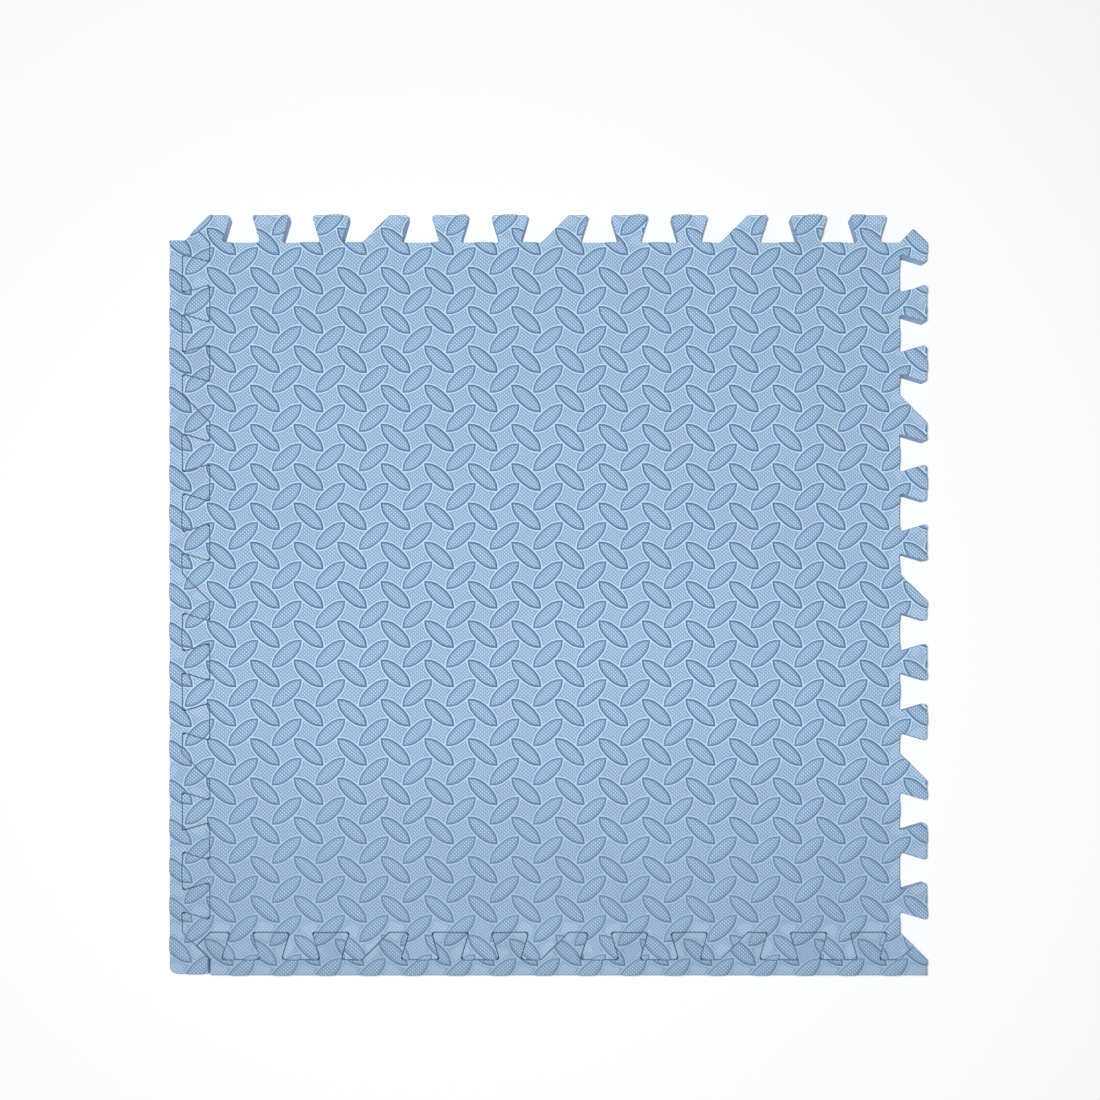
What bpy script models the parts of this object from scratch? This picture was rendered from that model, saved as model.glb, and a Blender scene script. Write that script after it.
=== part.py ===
"""Interlocking foam mat for blocking knitted work: one square tile and two edging strips.

Blender 4.5 script, in metres, +Z up. Run it with: blender --background --python part.py

The origin is the middle of the tile's module square, on its underside. The module square is the
square that one tile takes up in a joined floor: its teeth stand out of that square as far as its
sockets cut into it. The tile's +X and +Y sides are free. The left strip (-X) carries the rounded
corner, and the bottom strip (-Y) ends against it.

A side's shape is written once, in the side's own plan: t runs along the side, clockwise round the
tile seen from above, and n points out of the tile. All four sides are the same shape, and its teeth
mirror its sockets end for end, so any side of a tile or strip fits any side of another.
"""

import math

import bmesh
import bpy
from mathutils import Vector

# Driving dimensions.
MODULE = 0.600  # side of the module square
THICKNESS = 0.012
TOOTH_PITCH = 0.050
TEETH_PER_GROUP = 3  # each group starts with the tooth that has one sloping side
GROUPS = 4
HALF_DEPTH = 0.0115  # how far teeth stand out, and sockets cut in
TIP_WIDTH = 0.0320
NECK_WIDTH = TOOTH_PITCH - TIP_WIDTH  # so that the teeth mirror the sockets
FIRST_TOOTH = 0.0125  # from the start of a group to the middle of its first tooth
LEFT_RIM = 0.0108  # solid foam outside the teeth of the left strip
BOTTOM_RIM = 0.0132

# Rounding of the cut, and clearances.
TIP_ROUND = 0.0025
SOCKET_ROUND = 0.0018
CORNER_ROUND = 0.0006
OUTER_CORNER_ROUND = 0.0060
ARC_STEP = math.radians(28)
SEAM_GAP = 0.0004  # between the tile and a strip
SLOPE_GAP = 0.0005  # taken off the bottom strip's slope, beside the left strip
CUT_GAP = 0.0014  # taken off the left strip's straight cut, beside the bottom strip
LEFT_TOP_CUT = 0.0102  # from the module corner down to the left strip's square top end
LEFT_FOOT_SHORT = 0.0012  # how far the left strip stops short of the bottom strip's outer edge

FOAM_BLUE = (0.323, 0.462, 0.651)
FOAM_ROUGHNESS = 0.82

GROUP_LENGTH = TEETH_PER_GROUP * TOOTH_PITCH
SIDES = {"top": 0, "right": 1, "bottom": 2, "left": 3}


def clear_scene():
    for old in list(bpy.data.objects):
        bpy.data.objects.remove(old, do_unlink=True)


def foam(name, shade):
    """Closed-cell foam in the mat's blue, a little darker or lighter from piece to piece."""
    material = bpy.data.materials.new(name)
    material.use_nodes = True
    shader = material.node_tree.nodes["Principled BSDF"]
    shader.inputs["Base Color"].default_value = [*(c * shade for c in FOAM_BLUE), 1.0]
    shader.inputs["Roughness"].default_value = FOAM_ROUGHNESS
    shader.inputs["Metallic"].default_value = 0.0
    return material


def side_corners():
    """Sharp corners of one side as (t, n, radius on the tile, radius on the strip that fits it).

    The first is the tile's own corner. The side's far corner belongs to the next side.
    """
    tip = (HALF_DEPTH, TIP_ROUND, SOCKET_ROUND)
    root = (-HALF_DEPTH, SOCKET_ROUND, TIP_ROUND)
    corners = [(0.0, 0.0, CORNER_ROUND, CORNER_ROUND)]
    for group in range(GROUPS):
        start = group * GROUP_LENGTH
        middles = [start + FIRST_TOOTH + k * TOOTH_PITCH for k in range(TEETH_PER_GROUP)]
        corners.append((start + HALF_DEPTH, *tip))
        corners.append((middles[0] + TIP_WIDTH / 2, *tip))
        corners.append((middles[0] + NECK_WIDTH / 2, *root))
        for middle in middles[1:]:
            corners.append((middle - NECK_WIDTH / 2, *root))
            corners.append((middle - TIP_WIDTH / 2, *tip))
            corners.append((middle + TIP_WIDTH / 2, *tip))
            corners.append((middle + NECK_WIDTH / 2, *root))
        corners.append((start + GROUP_LENGTH - HALF_DEPTH, *root))
    return corners


def to_tile(t, n, side):
    """A point of a side's plan, in the tile's frame."""
    x, y = t - MODULE / 2, n + MODULE / 2
    for _ in range(SIDES[side]):
        x, y = y, -x
    return Vector((x, y))


def inset(points, gaps):
    """The closed, anticlockwise outline with edge i, from point i to the next, moved in by gaps[i]."""
    moved = []
    for i, corner in enumerate(points):
        before = (corner - points[i - 1]).normalized()
        after = (points[(i + 1) % len(points)] - corner).normalized()
        inward_before = Vector((-before.y, before.x))
        inward_after = Vector((-after.y, after.x))
        # The corner slides along its first edge until it is far enough in from its second.
        missing = gaps[i] - gaps[i - 1] * inward_before.dot(inward_after)
        slide = missing / before.dot(inward_after)
        moved.append(corner + inward_before * gaps[i - 1] + before * slide)
    return moved


def rounded(points, radii):
    """The closed outline with each corner replaced by an arc of its own radius."""
    outline = []
    for i, corner in enumerate(points):
        to_last = (points[i - 1] - corner).normalized()
        to_next = (points[(i + 1) % len(points)] - corner).normalized()
        half = to_last.angle(to_next) / 2
        middle = corner + (to_last + to_next).normalized() * (radii[i] / math.sin(half))
        first = corner + to_last * (radii[i] / math.tan(half)) - middle
        last = corner + to_next * (radii[i] / math.tan(half)) - middle
        start = math.atan2(first.y, first.x)
        sweep = math.remainder(math.atan2(last.y, last.x) - start, math.tau)
        steps = math.ceil(abs(sweep) / ARC_STEP)
        for step in range(steps + 1):
            angle = start + sweep * step / steps
            outline.append(middle + Vector((math.cos(angle), math.sin(angle))) * radii[i])
    return outline


def tile_outline():
    points, radii = [], []
    for side in SIDES:
        for t, n, on_tile, _ in side_corners():
            points.append(to_tile(t, n, side))
            radii.append(on_tile)
    return rounded(points, radii)


def strip_outline(side, corners):
    """The outline round corners, each (t, n, radius, gap taken off the edge that leaves it)."""
    points = [to_tile(t, n, side) for t, n, _, _ in corners]
    gaps = [gap for _, _, _, gap in corners]
    return rounded(inset(points, gaps), [radius for _, _, radius, _ in corners])


def strip_teeth():
    """The corners of a strip along the teeth of the tile, without the two corners of the tile."""
    return [(t, n, on_strip, SEAM_GAP) for t, n, _, on_strip in side_corners()[1:]]


def left_outline():
    """The left strip. One straight slope passes the tile's lower corner and leads into the mat's corner."""
    outer = HALF_DEPTH + LEFT_RIM
    top = MODULE - LEFT_TOP_CUT
    foot = LEFT_FOOT_SHORT - HALF_DEPTH - BOTTOM_RIM
    return strip_outline(
        "left",
        [
            (-HALF_DEPTH, -HALF_DEPTH, TIP_ROUND, SEAM_GAP),
            *strip_teeth(),
            (MODULE, 0.0, CORNER_ROUND, 0.0),
            (top, LEFT_TOP_CUT, CORNER_ROUND, 0.0),
            (top, outer, CORNER_ROUND, 0.0),
            (foot, outer, OUTER_CORNER_ROUND, 0.0),
            (foot, -HALF_DEPTH, CORNER_ROUND, CUT_GAP),
        ],
    )


def bottom_outline():
    """The bottom strip, which meets the left strip in a slope and a straight cut."""
    outer = HALF_DEPTH + BOTTOM_RIM
    return strip_outline(
        "bottom",
        [
            (0.0, 0.0, CORNER_ROUND, SEAM_GAP),
            *strip_teeth(),
            (MODULE, 0.0, CORNER_ROUND, SLOPE_GAP),
            (MODULE - HALF_DEPTH, HALF_DEPTH, SOCKET_ROUND, 0.0),
            (MODULE - HALF_DEPTH, outer, CORNER_ROUND, 0.0),
            (-HALF_DEPTH, outer, CORNER_ROUND, 0.0),
            (-HALF_DEPTH, HALF_DEPTH, CORNER_ROUND, 0.0),
        ],
    )


def slab(name, outline, material):
    """A closed slab of the foam's thickness, standing on z = 0."""
    mesh = bpy.data.meshes.new(name)
    shape = bmesh.new()
    base = shape.faces.new([shape.verts.new((p.x, p.y, 0.0)) for p in outline])
    raised = bmesh.ops.extrude_face_region(shape, geom=[base], use_keep_orig=True)
    lifted = [item for item in raised["geom"] if isinstance(item, bmesh.types.BMVert)]
    bmesh.ops.translate(shape, verts=lifted, vec=(0.0, 0.0, THICKNESS))
    bmesh.ops.recalc_face_normals(shape, faces=shape.faces)
    shape.to_mesh(mesh)
    shape.free()
    mesh.shade_smooth()
    mesh.set_sharp_from_angle(angle=ARC_STEP * 1.1)
    mesh.materials.append(material)
    piece = bpy.data.objects.new(name, mesh)
    bpy.context.scene.collection.objects.link(piece)
    return piece


def main():
    clear_scene()
    slab("main_tile", tile_outline(), foam("tile_foam", 1.0))
    slab("left_border", left_outline(), foam("left_border_foam", 0.97))
    slab("bottom_border", bottom_outline(), foam("bottom_border_foam", 0.95))


main()
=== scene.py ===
"""Looks of the foam blocking mat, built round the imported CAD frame.

Each foam piece is one closed mesh. Its outline is the CAD node's own outline, and its top carries
the embossed leaves. The triangles of the top follow the leaves, so that every bead and flank is a
real, crisp shape. The fine linen grain between and on the leaves is tone and bump in the tread's
material. The cut wall, its rounded upper edge and the underside have materials of their own.
"""

import math

import bmesh
import bpy
import numpy as np
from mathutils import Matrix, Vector, geometry


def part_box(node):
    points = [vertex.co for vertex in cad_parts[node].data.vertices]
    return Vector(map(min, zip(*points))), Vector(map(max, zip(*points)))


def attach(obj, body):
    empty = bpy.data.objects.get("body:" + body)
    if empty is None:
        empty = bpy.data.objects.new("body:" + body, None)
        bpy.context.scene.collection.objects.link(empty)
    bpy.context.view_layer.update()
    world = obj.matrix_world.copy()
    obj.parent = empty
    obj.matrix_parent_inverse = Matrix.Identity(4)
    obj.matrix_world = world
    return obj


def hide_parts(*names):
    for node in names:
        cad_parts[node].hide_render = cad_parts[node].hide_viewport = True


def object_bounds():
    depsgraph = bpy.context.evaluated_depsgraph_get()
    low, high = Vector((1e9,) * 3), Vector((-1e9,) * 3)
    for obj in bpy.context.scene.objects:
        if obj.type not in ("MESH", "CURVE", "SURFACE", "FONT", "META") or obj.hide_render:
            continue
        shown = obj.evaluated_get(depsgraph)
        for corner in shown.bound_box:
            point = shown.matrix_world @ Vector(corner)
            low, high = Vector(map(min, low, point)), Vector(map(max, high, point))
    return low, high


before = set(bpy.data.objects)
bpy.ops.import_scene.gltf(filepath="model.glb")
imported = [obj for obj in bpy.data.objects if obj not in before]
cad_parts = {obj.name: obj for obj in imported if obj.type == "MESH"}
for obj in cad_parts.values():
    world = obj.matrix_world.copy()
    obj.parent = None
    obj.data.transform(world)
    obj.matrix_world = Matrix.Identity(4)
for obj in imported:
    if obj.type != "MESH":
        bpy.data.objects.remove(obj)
cad_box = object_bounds()

MM = 0.001

# The pieces: name, CAD node, body, CAD material slot, shift of the tread's pattern against the
# tile's in mm, and shade of the foam.
PIECES = [
    ("tile_skin", "main_tile", "tile", "tile_foam", (0.0, 0.0), 1.0),
    ("left_border_skin", "left_border", "left_strip", "left_border_foam", (-0.7, -0.7), 0.97),
    ("bottom_border_skin", "bottom_border", "bottom_strip", "bottom_border_foam", (-2.2, -3.3), 0.93),
]
TREAD, WALL, UNDERSIDE, ROUNDED_EDGE = range(4)  # material slots of a piece

# Leaf tread. Leaves lean two ways, and each kind repeats on its own rectangular lattice.
LEAF_PITCH = np.array([36.44, 32.87]) * MM
LEAF_AT = np.array([-5.7, 43.0]) * MM  # middle of one leaf that leans to the right
LEAF_LEAN = math.radians(42.7)
LEAF_HALF_LENGTH = 17.7 * MM  # along the crest of the bead round the leaf
LEAF_HALF_WIDTH = 7.1 * MM
LEAF_FULLNESS = 3.0  # 2 is a lens of two parabolas, and more keeps its width further out
BEAD_HEIGHT = 0.20 * MM
BEAD_HALF_WIDTH = 0.6 * MM
GROOVE_DEPTH = 0.10 * MM  # at the foot of the flank
# The leaf's side rises straight from FLANK_START to DOME_START, both measured inwards from the
# crest of the bead, and then bends over into a dome that is level from DOME_END on.
FLANK_START = 0.9 * MM
DOME_START = 2.1 * MM
DOME_END = 4.8 * MM
FLANK_SLOPE = 1.0
DOME_SLOPE = 0.55  # where the dome starts
DOME_HEIGHT = DOME_SLOPE * (DOME_END - DOME_START) / 2
TREAD_HEIGHT = FLANK_SLOPE * (DOME_START - FLANK_START) - GROOVE_DEPTH + DOME_HEIGHT
# The tread's mesh follows each leaf on rings, at these depths inside the crest of its bead.
RING_DEPTHS = [d * MM for d in (-1.2, -0.6, 0.0, 0.9, 2.1, 3.4, 4.8)]
RING_POINTS = 18
RING_REACH = 1.2 * LEAF_HALF_LENGTH  # past the tip of the outermost ring
TIP_HALVINGS = 40  # of RING_REACH, to find a ring's tip
SPINE_POINTS = [s * MM for s in (-4.0, 0.0, 4.0)]
OVERRUN = 0.1 * MM  # how far a ring may reach into the next leaf
CREASE = math.radians(38)  # an edge that turns by more than this is shaded as a crease

# Outline and cut edge.
OUTLINE_STEP = 2.6 * MM
EDGE_INSET = 0.35 * MM  # where the rounding of the cut edge meets the tread
MARGIN_INSET = 1.3 * MM  # extra points of the tread beside the cut edge, between the leaves
# Levels of the wall as (inset, drop below the tread), then as (inset, height), all in mm.
EDGE_LEVELS = [(0.17, 0.06), (0.05, 0.19), (0.0, 0.42)]
WALL_LEVELS = [(0.10, 6.0), (0.02, 0.8), (0.28, 0.0)]
ROUNDED_LEVELS = 2  # of the levels, the ones whose faces are the rounded edge, darker with painted shade
EDGE_SHADE_TONE = 0.65  # painted shade of the rounded edge, against the wall
WELD = 1e-6  # closest that two separate points of an outline come
LAYOUT_SLACK = 1e-7  # closest that two separate points of the tread's layout come

# Linen grain: two crossing families of ridges, in step with the leaves, and their weave.
PADS_PER_PITCH = 11
GRAIN_MEAN = 0.5
RIDGE_SHARES = (0.26, 0.17)
WEAVE_SHARE = 0.30
GRAIN_DEPTH = 0.30 * MM
GRAIN_TONE = 1.3
GRAIN_LEVEL = 0.55  # the grain's height where its tone is 1
FIELD_GRAIN = 0.75  # strength between the leaves, against 1 on them

# Parts of the tread's material. Each ramp runs from 0 at its first distance to 1 at its second,
# in mm inside the crest of the nearest leaf's bead.
BEAD_HIGHLIGHT_RAMP = (0.65, 0.0)  # of the distance from the crest, on both sides of it
GROOVE_SHADE_RAMPS = [(0.4, 0.9), (2.2, 1.2)]
FLANK_SHADE_RAMPS = [(0.5, 1.1), (3.4, 1.6)]
FOOT_SHADE_RAMPS = [(-0.4, -0.8), (-1.4, -0.9)]
FIELD_RAMP = (-0.7, -1.1)
LEAF_RAMP = (1.5, 2.9)

# Foam colours. The beads' pale colour is a painted highlight; the flank, groove and foot colours are
# painted shade.
FIELD_BLUE = (0.416, 0.583, 0.799)
LEAF_BLUE = (0.352, 0.519, 0.739)
# painted shade on the smooth sloping flanks of the leaves
FLANK_SHADE_BLUE = (0.306, 0.477, 0.702)
GROOVE_SHADE_BLUE = (0.126, 0.249, 0.414)  # painted shade: a dark line in the crease at the foot of the flank
FOOT_SHADE_BLUE = (0.260, 0.399, 0.587)  # painted shade in the crease beside the bead, on the ground between the leaves
# painted highlight along the crest of each bead
BEAD_HIGHLIGHT_BLUE = (0.570, 0.765, 0.960)
LEFT_FLANK_SHADE = 0.22  # painted shade: how much darker the flanks are on the leaves that lean to the left
WALL_BLUES = [(0.27, 0.39, 0.58), (0.35, 0.48, 0.68)]
UNDERSIDE_BLUES = [(0.30, 0.43, 0.62), (0.37, 0.51, 0.71)]
# Towards the bottom strip, the beads' painted highlight fades, the painted shade of the flanks and
# groove weakens, and the tread gets darker. Both ramps here run along Y.
TOWARDS_BOTTOM_RAMP = (-0.08, -0.30)
BOTTOM_BEAD_BLUE = (0.416, 0.582, 0.800)
BOTTOM_SHADE_LOSS = 0.4  # what the painted shade of the flanks and groove loses there
BOTTOM_DARKENING = 0.12  # how much darker the tread is there
# Beside its seam and on the bottom strip, the foam has lost some of its grain.
SMOOTH_RAMP = (-0.268, -0.286)
SMOOTH_FIELD = 0.35  # out of FIELD_GRAIN
SMOOTH_LEAF = 0.1  # out of 1

# Foam cells, clouds and drag marks, by how many of them there are in a metre.
TREAD_CELLS = 1600.0
TREAD_CELL_TONE = 0.10
TREAD_CELL_HEIGHT = 0.12  # of GRAIN_DEPTH
TREAD_CLOUDS = 12.0
TREAD_CLOUD_TONE = 0.08
WALL_CELLS = 1500.0
DRAG_MARKS = (900.0, 900.0, 60.0)  # fewer along Z, so that each mark stands upright
DRAG_SHARE = 0.6  # of the wall's roughness, against 1 for its cells
UNDERSIDE_CLOUDS = 22.0
UNDERSIDE_GRAIN_TONE = 0.2

# Bumps as (strength, depth), and gloss as (roughness, specular level).
TREAD_BUMP = (1.0, GRAIN_DEPTH)
TREAD_GLOSS = (0.6, 0.35)
WALL_BUMP = (0.8, 0.18 * MM)
WALL_GLOSS = (0.8, 0.25)
UNDERSIDE_BUMP = (0.7, 0.15 * MM)
UNDERSIDE_GLOSS = (0.7, 0.3)

# Studio.
FLOOR_HALF = 6.0
FLOOR_GREY = 0.95
FLOOR_ROUGHNESS = 0.9
FLOOR_GLOW = 0.05
WORLD_STRENGTH = 0.22
LAMP_AT = (-0.11, -0.04, 1.15)
LAMP_RADIUS = 0.08
LAMP_POWER = 32.5
# The camera looks straight down. It stands nearer the mat's bottom side than its middle, so the
# teeth show their walls towards that point, and a shift frames the whole mat.
CAMERA_AT = (0.0044, -0.094)
CAMERA_HEIGHT = 1.03  # above the tread
VIEW_WIDTH = 0.919  # of the tread, across the picture
VIEW_MIDDLE = (-0.0040, 0.0310)
SENSOR_WIDTH = 36.0  # mm


def leaf_frame(points, lean):
    """Place of each point along and across the nearest leaf that leans that way."""
    middle = LEAF_AT if lean > 0 else LEAF_AT + LEAF_PITCH / 2
    offset = points - middle
    offset = offset - np.round(offset / LEAF_PITCH) * LEAF_PITCH
    c, s = math.cos(lean), math.sin(lean)
    return offset[:, 0] * c + offset[:, 1] * s, offset[:, 1] * c - offset[:, 0] * s


def leaf_side(along):
    """Half width of the leaf at its bead's crest, and the crest's own length for each unit along."""
    share = np.abs(along) / LEAF_HALF_LENGTH
    slope = LEAF_FULLNESS * LEAF_HALF_WIDTH / LEAF_HALF_LENGTH * share ** (LEAF_FULLNESS - 1)
    return LEAF_HALF_WIDTH * (1 - share**LEAF_FULLNESS), np.sqrt(1 + slope**2)


def inside_leaf(along, across):
    """Distance inside the crest of the leaf's bead, negative outside it."""
    half_width, slant = leaf_side(along)
    return (half_width - np.abs(across)) / slant


def leaves_of_both_leans(points):
    """Distance of each point inside the nearest leaf of either lean, the right one first."""
    return [inside_leaf(*leaf_frame(points, lean)) for lean in (LEAF_LEAN, -LEAF_LEAN)]


def nearest_leaf(points):
    return np.maximum(*leaves_of_both_leans(points))


def relief(depth):
    """Height of the tread above the ground between the leaves, at a depth inside the leaf."""
    bead = BEAD_HEIGHT * np.clip(1 - (depth / BEAD_HALF_WIDTH) ** 2, 0, 1)
    into_groove = (depth - BEAD_HALF_WIDTH) / (FLANK_START - BEAD_HALF_WIDTH)
    groove = GROOVE_DEPTH * np.clip(into_groove, 0, 1)
    flank = FLANK_SLOPE * (np.clip(depth, FLANK_START, DOME_START) - FLANK_START)
    level = np.clip((DOME_END - depth) / (DOME_END - DOME_START), 0, 1)
    return bead - groove + flank + DOME_HEIGHT * (1 - level**2)


def ring(depth):
    """Points round a leaf at one depth inside the crest of its bead, in the leaf's own frame."""
    low, high = 0.0, RING_REACH
    for _ in range(TIP_HALVINGS):
        middle = (low + high) / 2
        if inside_leaf(np.array([middle]), np.array([0.0]))[0] > depth:
            low = middle
        else:
            high = middle
    # Even steps of the cosine put more points towards the tips, where the ring turns.
    along = low * np.cos(np.linspace(0, math.pi, RING_POINTS // 2 + 1))
    half_width, slant = leaf_side(along)
    across = half_width - depth * slant
    across[0] = across[-1] = 0.0
    upper = np.column_stack([along, across])
    lower = np.column_stack([along[-2:0:-1], -across[-2:0:-1]])
    return np.vstack([upper, lower])


def leaf_lines(low, high):
    """Points and edges of the leaves between two corners of a rectangle."""
    rings = [ring(depth) for depth in RING_DEPTHS]
    spine = np.array([(s, 0.0) for s in SPINE_POINTS])
    points, edges, total = [], [], 0
    for lean in (LEAF_LEAN, -LEAF_LEAN):
        middle = LEAF_AT if lean > 0 else LEAF_AT + LEAF_PITCH / 2
        first = np.floor((low - middle) / LEAF_PITCH).astype(int)
        last = np.ceil((high - middle) / LEAF_PITCH).astype(int)
        turn = np.array([[math.cos(lean), math.sin(lean)], [-math.sin(lean), math.cos(lean)]])
        for i in range(first[0], last[0] + 1):
            for j in range(first[1], last[1] + 1):
                centre = middle + np.array([i, j]) * LEAF_PITCH
                for depth, line in zip(RING_DEPTHS, rings):
                    at = line @ turn + centre
                    # A point that has run into the next leaf shapes nothing.
                    own = nearest_leaf(at) < depth + OVERRUN
                    place = total + np.cumsum(own) - 1
                    points.append(at[own])
                    total += own.sum()
                    for k in range(len(line)):
                        n = (k + 1) % len(line)
                        if own[k] and own[n]:
                            edges.append((place[k], place[n]))
                points.append(spine @ turn + centre)
                total += len(spine)
    return np.vstack(points), edges


def boundary_of(faces):
    """The one closed loop of vertices round a sheet of faces."""
    sides = {(a, b) for face in faces for a, b in zip(face, (*face[1:], face[0]))}
    follow = {a: b for a, b in sides if (b, a) not in sides}
    start = min(follow)
    loop = [start]
    while follow[loop[-1]] != start:
        loop.append(follow[loop[-1]])
    return loop


def cad_outline(node):
    """Outline of a CAD node's flat top, anticlockwise, with its long stretches divided."""
    shape = bmesh.new()
    shape.from_mesh(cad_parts[node].data)
    bmesh.ops.remove_doubles(shape, verts=shape.verts, dist=WELD)
    shape.verts.index_update()
    top = [[v.index for v in face.verts] for face in shape.faces if face.normal.z > 0.5]
    shape.verts.ensure_lookup_table()
    corners = [np.array(shape.verts[i].co.xy) for i in boundary_of(top)]
    shape.free()
    outline = []
    for a, b in zip(corners, corners[1:] + corners[:1]):
        parts = math.ceil(np.linalg.norm(b - a) / OUTLINE_STEP)
        outline += [a + (b - a) * k / parts for k in range(parts)]
    return np.array(outline)


def inset(outline, distance):
    """The outline moved inwards, each corner along its mitre."""
    after = np.roll(outline, -1, axis=0) - outline
    after /= np.linalg.norm(after, axis=1)[:, None]
    inward = np.column_stack([-after[:, 1], after[:, 0]])
    before = np.roll(inward, 1, axis=0)
    mitre = (inward + before) / (1 + (inward * before).sum(axis=1))[:, None]
    return outline + mitre * distance


def tread_sheet(outline, shift):
    """Flat layout of the tread: its points, its faces, and its border as a loop of points.

    Each point of the border also has its spot on the outline, as the corner before it and the share
    of the way to the next corner.
    """
    count = len(outline)
    top_edge = inset(outline, EDGE_INSET)
    margin = inset(outline, MARGIN_INSET)
    margin = margin[nearest_leaf(margin - shift) < RING_DEPTHS[0]]
    lines, line_edges = leaf_lines(top_edge.min(0) - shift, top_edge.max(0) - shift)
    flat = [Vector(p) for p in (*top_edge, *(lines + shift), *margin)]
    edges = [(a + count, b + count) for a, b in line_edges]
    places, _, cells, from_points, _, from_faces = geometry.delaunay_2d_cdt(
        flat, edges, [list(range(count))], 0, LAYOUT_SLACK
    )
    sheet = [cell for cell, origin in zip(cells, from_faces) if origin]

    corner_of = {
        i: min(origin) for i, origin in enumerate(from_points) if origin and min(origin) < count
    }
    loop = boundary_of(sheet)
    start = next(k for k, i in enumerate(loop) if i in corner_of)
    loop = loop[start:] + loop[:start]
    spots = []
    for i in loop:
        if i in corner_of:
            corner = corner_of[i]
            share = 0.0
        else:
            a, b = top_edge[corner], top_edge[(corner + 1) % count]
            share = np.linalg.norm(np.array(places[i]) - a) / np.linalg.norm(b - a)
        spots.append((corner, share))

    used = sorted({i for face in sheet for i in face})
    new = {old: k for k, old in enumerate(used)}
    points = np.array([places[i] for i in used])
    return points, [[new[i] for i in face] for face in sheet], [new[i] for i in loop], spots


def foam_mesh(name, node, shift, materials):
    """Embossed top, rounded cut edge, wall and flat underside, as one closed mesh.

    shift moves the tread's pattern on this piece against the tile's.
    """
    outline = cad_outline(node)
    tread, faces, last, spots = tread_sheet(outline, shift)
    depth = nearest_leaf(tread - shift)
    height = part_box(node)[1].z - TREAD_HEIGHT + relief(depth)
    points = [np.column_stack([tread, height])]
    slots = [TREAD] * len(faces)

    corners = np.array([corner for corner, _ in spots])
    shares = np.array([[share] for _, share in spots])
    border = len(last)
    total = len(tread)
    levels = [(inward, height[last] - drop * MM) for inward, drop in EDGE_LEVELS]
    levels += [(inward, np.full(border, z * MM)) for inward, z in WALL_LEVELS]
    for level, (inward, z) in enumerate(levels):
        line = inset(outline, inward * MM)
        at = line[corners] * (1 - shares) + np.roll(line, -1, axis=0)[corners] * shares
        points.append(np.column_stack([at, z]))
        here = list(range(total, total + border))
        total += border
        for k in range(border):
            n = (k + 1) % border
            faces.append([last[n], last[k], here[k], here[n]])
        slots += [ROUNDED_EDGE if level < ROUNDED_LEVELS else WALL] * border
        last = here
    faces.append(last[::-1])
    slots.append(UNDERSIDE)

    mesh = bpy.data.meshes.new(name)
    mesh.from_pydata(np.vstack(points).tolist(), [], faces)
    for material in materials:
        mesh.materials.append(material)
    mesh.polygons.foreach_set("material_index", slots)
    mesh.shade_smooth()
    mesh.set_sharp_from_angle(angle=CREASE)
    # For the tread's material: the distance inside the nearest leaf, in mm, and whether that leaf
    # leans to the left. The other materials don't use them.
    right, left = leaves_of_both_leans(tread - shift)
    for title, values in (("inside_leaf", depth / MM), ("leans_left", left > right)):
        filled = np.zeros(total, np.float32)
        filled[: len(values)] = values
        mesh.attributes.new(title, "FLOAT", "POINT").data.foreach_set("value", filled)
    mesh.update()
    return mesh


class Nodes:
    """Short helpers to build one node tree."""

    def __init__(self, material):
        self.tree = material.node_tree

    def add(self, kind, inputs=(), **settings):
        node = self.tree.nodes.new(kind)
        for key, value in settings.items():
            setattr(node, key, value)
        for key, value in dict(inputs).items():
            self.set(node.inputs[key], value)
        return node

    def set(self, socket, value):
        if isinstance(value, bpy.types.NodeSocket):
            self.tree.links.new(value, socket)
        else:
            socket.default_value = value

    def math(self, operation, *values):
        return self.add("ShaderNodeMath", dict(enumerate(values)), operation=operation).outputs[0]

    def less(self, value, amount, start=1.0):
        """start, less amount times the value."""
        return self.math("MULTIPLY_ADD", value, -amount, start)

    def around_one(self, value, amount):
        """1 where the value is a half, and amount more at 1 than at 0."""
        return self.math("MULTIPLY_ADD", value, amount, 1 - amount / 2)

    def step(self, value, ramp):
        """Smooth step from 0 at the ramp's start to 1 at its end."""
        limits = {"Value": value, "From Min": ramp[0], "From Max": ramp[1]}
        return self.add("ShaderNodeMapRange", limits, interpolation_type="SMOOTHSTEP").outputs[0]

    def band(self, value, ramps):
        """Product of two smooth steps."""
        return self.math("MULTIPLY", *(self.step(value, ramp) for ramp in ramps))

    def noise(self, where, scale, detail):
        inputs = {"Vector": where, "Scale": scale, "Detail": detail}
        return self.add("ShaderNodeTexNoise", inputs).outputs["Fac"]

    def attribute(self, title):
        return self.add("ShaderNodeAttribute", attribute_name=title).outputs["Fac"]

    def mix(self, share, a, b):
        """Mix of two colours."""
        return self.add("ShaderNodeMix", {0: share, 6: a, 7: b}, data_type="RGBA").outputs[2]

    def scaled(self, colour, tone):
        node = self.add("ShaderNodeVectorMath", {0: colour, "Scale": tone}, operation="SCALE")
        return node.outputs[0]


def new_material(name):
    material = bpy.data.materials.new(name)
    material.use_nodes = True
    return material, material.node_tree.nodes["Principled BSDF"], Nodes(material)


def finish_foam(nodes, shader, colour, height, bump, gloss):
    """The last part of each foam material: its colour, bump and gloss."""
    nodes.set(shader.inputs["Base Color"], colour)
    strength, depth = bump
    inputs = {"Strength": strength, "Distance": depth, "Height": height}
    nodes.set(shader.inputs["Normal"], nodes.add("ShaderNodeBump", inputs).outputs[0])
    roughness, specular = gloss
    shader.inputs["Roughness"].default_value = roughness
    shader.inputs["Specular IOR Level"].default_value = specular


def shaded(colour, shade):
    return [c * shade for c in colour] + [1.0]


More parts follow.
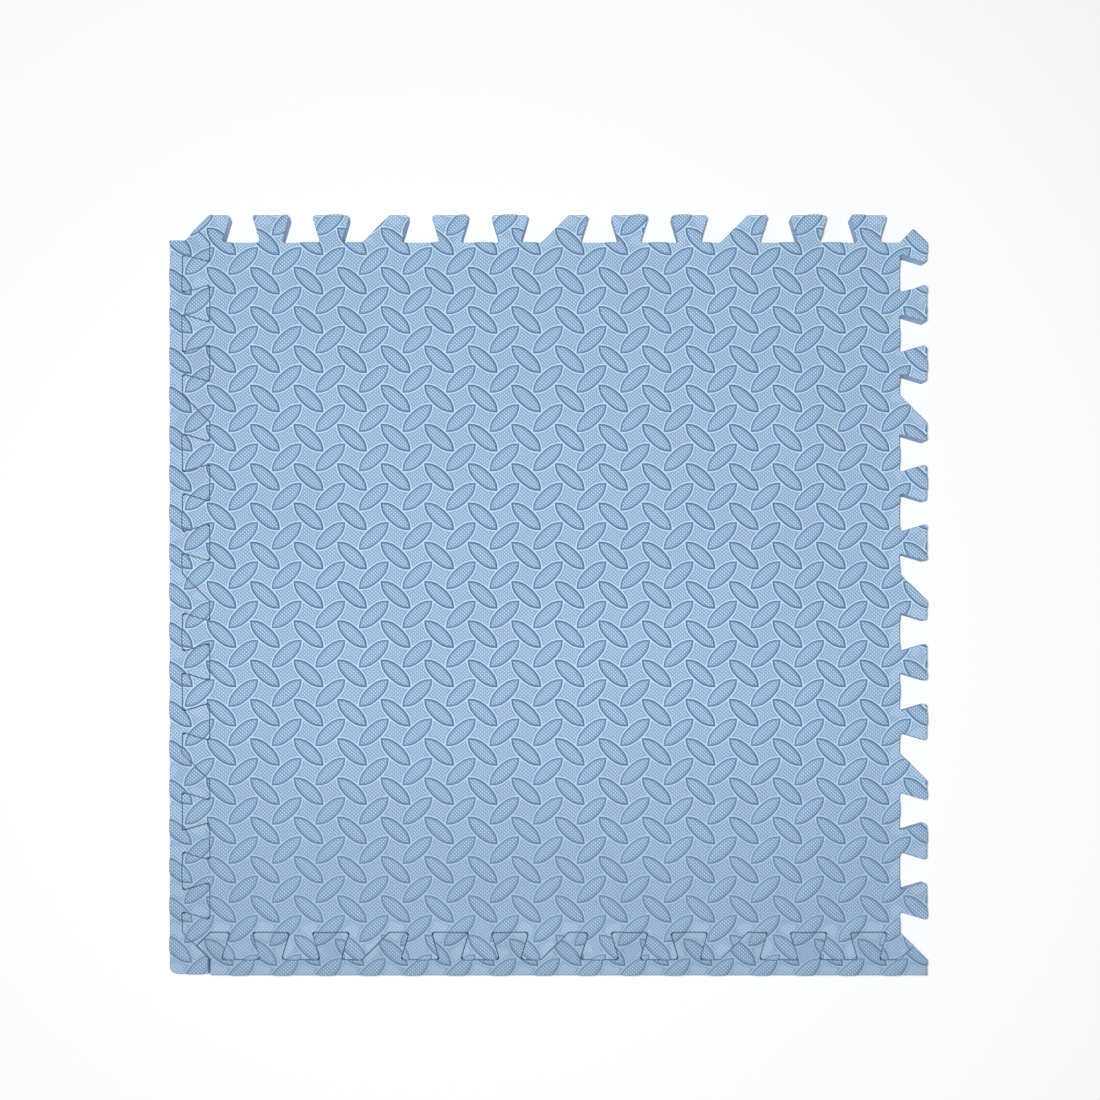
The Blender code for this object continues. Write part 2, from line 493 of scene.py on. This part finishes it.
def grain_height(nodes, where, shift):
    """Linen grain: up to 1.2 where ridges cross, down to 0.1 beside them, GRAIN_MEAN on average."""
    at = nodes.add("ShaderNodeSeparateXYZ", {0: where})
    start = LEAF_AT + shift
    across, up = (
        nodes.math(
            "MULTIPLY",
            nodes.math("SUBTRACT", at.outputs[k], start[k]),
            math.tau / LEAF_PITCH[k],
        )
        for k in (0, 1)
    )
    waves = []
    for sign in (1, -1):
        diagonal = nodes.math("MULTIPLY_ADD", across, sign, up)
        waves.append(nodes.math("COSINE", nodes.math("MULTIPLY", diagonal, PADS_PER_PITCH)))
    grain = nodes.math("MULTIPLY_ADD", waves[0], RIDGE_SHARES[0], GRAIN_MEAN)
    grain = nodes.math("MULTIPLY_ADD", waves[1], RIDGE_SHARES[1], grain)
    return nodes.math("MULTIPLY_ADD", nodes.math("MULTIPLY", *waves), WEAVE_SHARE, grain)


def tread_material(name, shade, shift):
    """Embossed face of the foam: grained, with smooth beads paled by a painted highlight, smooth
    flanks darkened by painted shade, and painted shade lines in the groove and at the bead's foot.
    """
    material, shader, nodes = new_material(name)
    where = nodes.add("ShaderNodeTexCoord").outputs["Object"]
    along_y = nodes.add("ShaderNodeSeparateXYZ", {0: where}).outputs["Y"]
    # Along Y towards the bottom strip, the painted highlight and painted shade weaken and the tread
    # gets darker.
    towards_bottom = nodes.step(along_y, TOWARDS_BOTTOM_RAMP)
    smooth = nodes.step(along_y, SMOOTH_RAMP)

    inside = nodes.attribute("inside_leaf")
    # Mask of the beads' painted highlight.
    bead = nodes.step(nodes.math("ABSOLUTE", inside), BEAD_HIGHLIGHT_RAMP)
    softer = nodes.less(towards_bottom, BOTTOM_SHADE_LOSS)
    # Mask of the painted shade line in the groove at the flank's foot.
    groove = nodes.math("MULTIPLY", nodes.band(inside, GROOVE_SHADE_RAMPS), softer)
    # Mask of the painted shade on the flanks.
    flank = nodes.math("MULTIPLY", nodes.band(inside, FLANK_SHADE_RAMPS), softer)
    # Mask of the painted shade at the bead's foot.
    foot = nodes.band(inside, FOOT_SHADE_RAMPS)
    field = nodes.step(inside, FIELD_RAMP)
    leaf = nodes.step(inside, LEAF_RAMP)

    colour = nodes.mix(leaf, shaded(FIELD_BLUE, shade), shaded(LEAF_BLUE, shade))
    colour = nodes.mix(flank, colour, shaded(FLANK_SHADE_BLUE, shade))
    colour = nodes.mix(groove, colour, shaded(GROOVE_SHADE_BLUE, shade))
    colour = nodes.mix(foot, colour, shaded(FOOT_SHADE_BLUE, shade))
    # The beads' paleness is a painted highlight, which fades towards the bottom strip.
    bead_highlight_colour = nodes.mix(towards_bottom, shaded(BEAD_HIGHLIGHT_BLUE, shade), shaded(BOTTOM_BEAD_BLUE, shade))
    colour = nodes.mix(bead, colour, bead_highlight_colour)

    grain = grain_height(nodes, where, shift)
    field_share = nodes.math("MULTIPLY", field, nodes.less(smooth, SMOOTH_FIELD, FIELD_GRAIN))
    leaf_share = nodes.math("MULTIPLY", leaf, nodes.less(smooth, SMOOTH_LEAF))
    share = nodes.math("ADD", field_share, leaf_share)
    cells = nodes.noise(where, TREAD_CELLS, detail=2.0)
    clouds = nodes.noise(where, TREAD_CLOUDS, detail=3.0)
    # Painted shade: the flanks of the leaves that lean to the left are darker still.
    left_flank_shade = nodes.math("MULTIPLY", flank, nodes.attribute("leans_left"))
    # The tone is 1 without grain. In the grain it follows the height, and is 1 at GRAIN_LEVEL.
    above = nodes.math("MULTIPLY", nodes.math("SUBTRACT", grain, GRAIN_LEVEL), share)
    tone = nodes.math("MULTIPLY_ADD", above, GRAIN_TONE, 1.0)
    for factor in (
        nodes.around_one(clouds, TREAD_CLOUD_TONE),
        nodes.around_one(cells, TREAD_CELL_TONE),
        nodes.less(towards_bottom, BOTTOM_DARKENING),
        nodes.less(left_flank_shade, LEFT_FLANK_SHADE),
    ):
        tone = nodes.math("MULTIPLY", tone, factor)

    height = nodes.math(
        "MULTIPLY_ADD", cells, TREAD_CELL_HEIGHT, nodes.math("MULTIPLY", grain, share)
    )
    finish_foam(nodes, shader, nodes.scaled(colour, tone), height, TREAD_BUMP, TREAD_GLOSS)
    return material


def cut_material(name, shade):
    """Die-cut wall: open foam cells and faint upright drag marks."""
    material, shader, nodes = new_material(name)
    where = nodes.add("ShaderNodeTexCoord").outputs["Object"]
    inputs = {"Vector": where, "Scale": WALL_CELLS}
    cells = nodes.add("ShaderNodeTexVoronoi", inputs).outputs["Distance"]
    drawn = nodes.add("ShaderNodeMapping", {"Vector": where, "Scale": DRAG_MARKS}).outputs[0]
    drag = nodes.noise(drawn, scale=1.0, detail=2.0)
    rough = nodes.math("MULTIPLY_ADD", drag, DRAG_SHARE, cells)
    colour = nodes.mix(rough, *(shaded(blue, shade) for blue in WALL_BLUES))
    finish_foam(nodes, shader, colour, rough, WALL_BUMP, WALL_GLOSS)
    return material


def underside_material(name, shade):
    """Plain moulded underside, with the same fine grain and no leaves."""
    material, shader, nodes = new_material(name)
    where = nodes.add("ShaderNodeTexCoord").outputs["Object"]
    grain = grain_height(nodes, where, (0.0, 0.0))
    clouds = nodes.noise(where, UNDERSIDE_CLOUDS, detail=4.0)
    colour = nodes.mix(clouds, *(shaded(blue, shade) for blue in UNDERSIDE_BLUES))
    colour = nodes.scaled(colour, nodes.around_one(grain, UNDERSIDE_GRAIN_TONE))
    finish_foam(nodes, shader, colour, grain, UNDERSIDE_BUMP, UNDERSIDE_GLOSS)
    return material


def foam_materials(name, shade, shift):
    """A piece's materials, in the order of its slots."""
    return [
        tread_material(name + "_tread", shade, shift),
        cut_material(name + "_cut_edge", shade),
        underside_material(name + "_underside", shade),
        # This copy of the cut wall is darker: painted shade on the rounded edge, which darkens the
        # seams.
        cut_material(name + "_shaded_rounded_edge", shade * EDGE_SHADE_TONE),
    ]


def foam_piece(name, node, body, slot, shift, shade):
    shift = np.array(shift) * MM
    mesh = foam_mesh(name, node, shift, foam_materials(name, shade, shift))
    piece = bpy.data.objects.new(name, mesh)
    bpy.context.scene.collection.objects.link(piece)
    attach(piece, body)
    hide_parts(node)


def make_floor():
    mesh = bpy.data.meshes.new("floor")
    quarters = ((-1, -1), (1, -1), (1, 1), (-1, 1))
    corners = [(x * FLOOR_HALF, y * FLOOR_HALF, 0) for x, y in quarters]
    mesh.from_pydata(corners, [], [(0, 1, 2, 3)])
    floor = bpy.data.objects.new("floor", mesh)
    bpy.context.scene.collection.objects.link(floor)
    material, shader, _ = new_material("floor_paint")
    shader.inputs["Base Color"].default_value = (FLOOR_GREY, FLOOR_GREY, FLOOR_GREY, 1)
    shader.inputs["Roughness"].default_value = FLOOR_ROUGHNESS
    shader.inputs["Emission Color"].default_value = (1, 1, 1, 1)
    shader.inputs["Emission Strength"].default_value = FLOOR_GLOW
    mesh.materials.append(material)


def make_lamp():
    """One lamp over the mat. It lights near and far parts alike, as a far, strong lamp does."""
    data = bpy.data.lights.new("key", "POINT")
    data.shadow_soft_size = LAMP_RADIUS
    data.energy = LAMP_POWER
    data.use_nodes = True
    nodes = data.node_tree.nodes
    falloff = nodes.new("ShaderNodeLightFalloff")
    falloff.inputs["Strength"].default_value = 1.0
    data.node_tree.links.new(falloff.outputs["Constant"], nodes["Emission"].inputs["Strength"])
    lamp = bpy.data.objects.new("key", data)
    lamp.location = LAMP_AT
    bpy.context.scene.collection.objects.link(lamp)


def make_world():
    world = bpy.data.worlds.new("studio")
    world.use_nodes = True
    background = world.node_tree.nodes["Background"]
    background.inputs["Color"].default_value = (1, 1, 1, 1)
    background.inputs["Strength"].default_value = WORLD_STRENGTH
    bpy.context.scene.world = world


def make_camera(top):
    data = bpy.data.cameras.new("camera")
    data.sensor_width = SENSOR_WIDTH
    data.lens = SENSOR_WIDTH * CAMERA_HEIGHT / VIEW_WIDTH
    data.shift_x = (VIEW_MIDDLE[0] - CAMERA_AT[0]) / VIEW_WIDTH
    data.shift_y = (VIEW_MIDDLE[1] - CAMERA_AT[1]) / VIEW_WIDTH
    camera = bpy.data.objects.new("camera", data)
    camera.location = (*CAMERA_AT, top + CAMERA_HEIGHT)
    bpy.context.scene.collection.objects.link(camera)
    bpy.context.scene.camera = camera


def main():
    make_camera(cad_box[1].z)
    make_floor()
    make_world()
    make_lamp()
    bpy.context.scene.view_settings.view_transform = "Standard"
    for piece in PIECES:
        foam_piece(*piece)


main()
